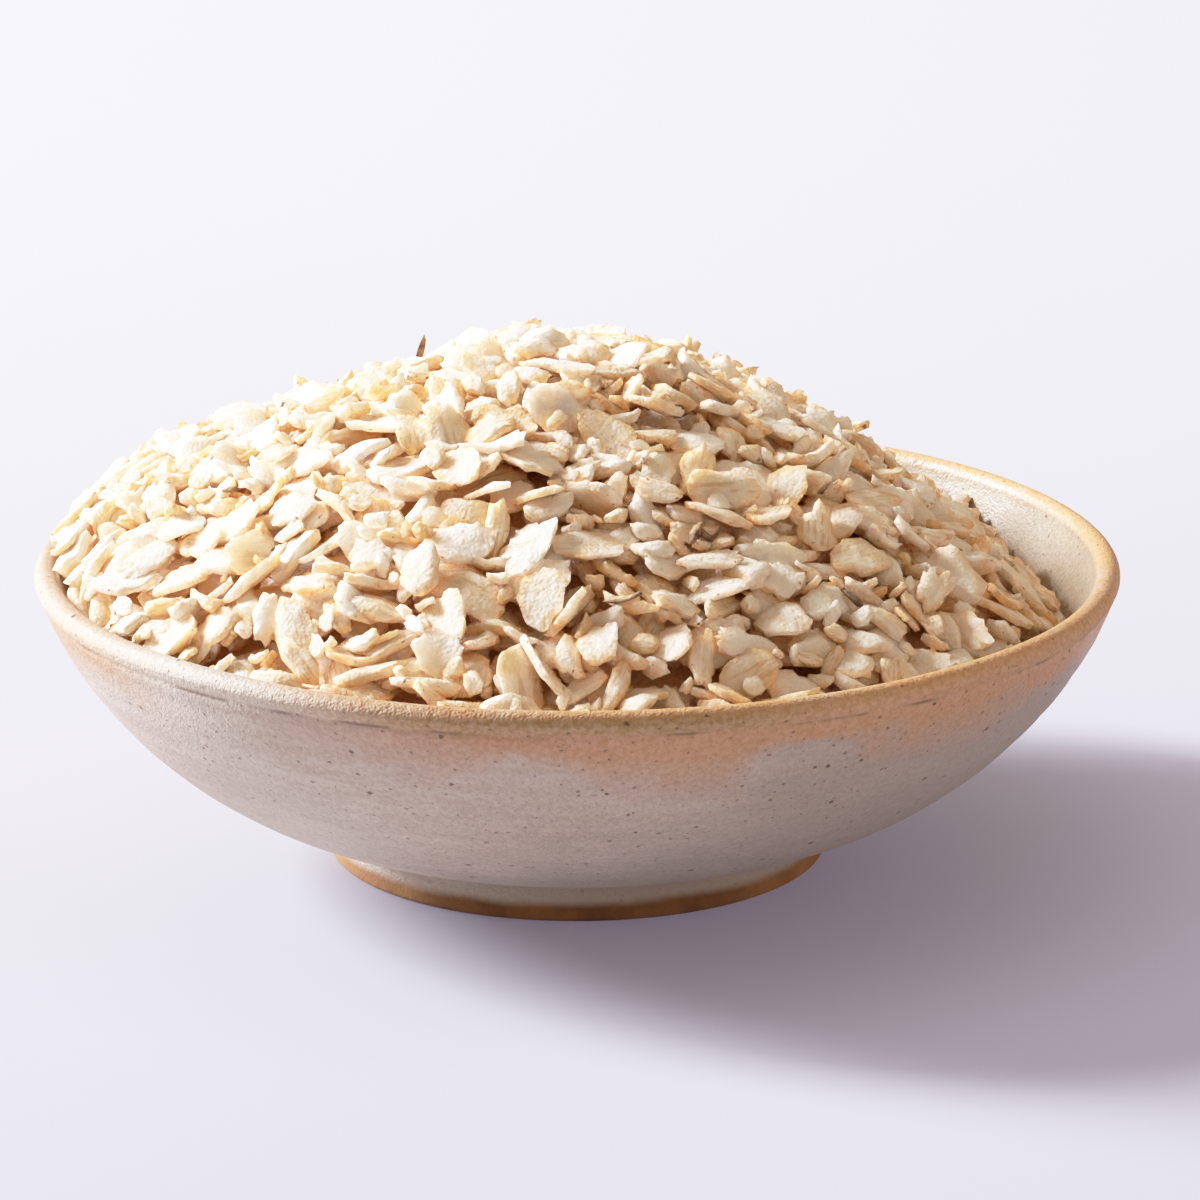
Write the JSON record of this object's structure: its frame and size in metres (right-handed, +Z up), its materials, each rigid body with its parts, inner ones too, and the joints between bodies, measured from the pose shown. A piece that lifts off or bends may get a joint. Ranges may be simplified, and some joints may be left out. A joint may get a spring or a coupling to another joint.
{
  "type": "bowl of rice flakes",
  "caption": "Round stoneware bowl on a foot ring, heaped with dry rice flakes that rise in an uneven dome above the rim.",
  "frame": {"origin": "centre of the foot ring's underside, on the bowl's axis", "axes": "+Z up along the bowl's axis, +X to the right and -Y to the front as the bowl is seen in the picture"},
  "size_m": [0.14, 0.14, 0.0686],
  "materials": {
    "stoneware": "satin",
    "rice_flakes": "matte"
  },
  "bodies": {
    "root": {"bowl": "stoneware", "rice_flakes": "rice_flakes"}
  },
  "joints": []
}
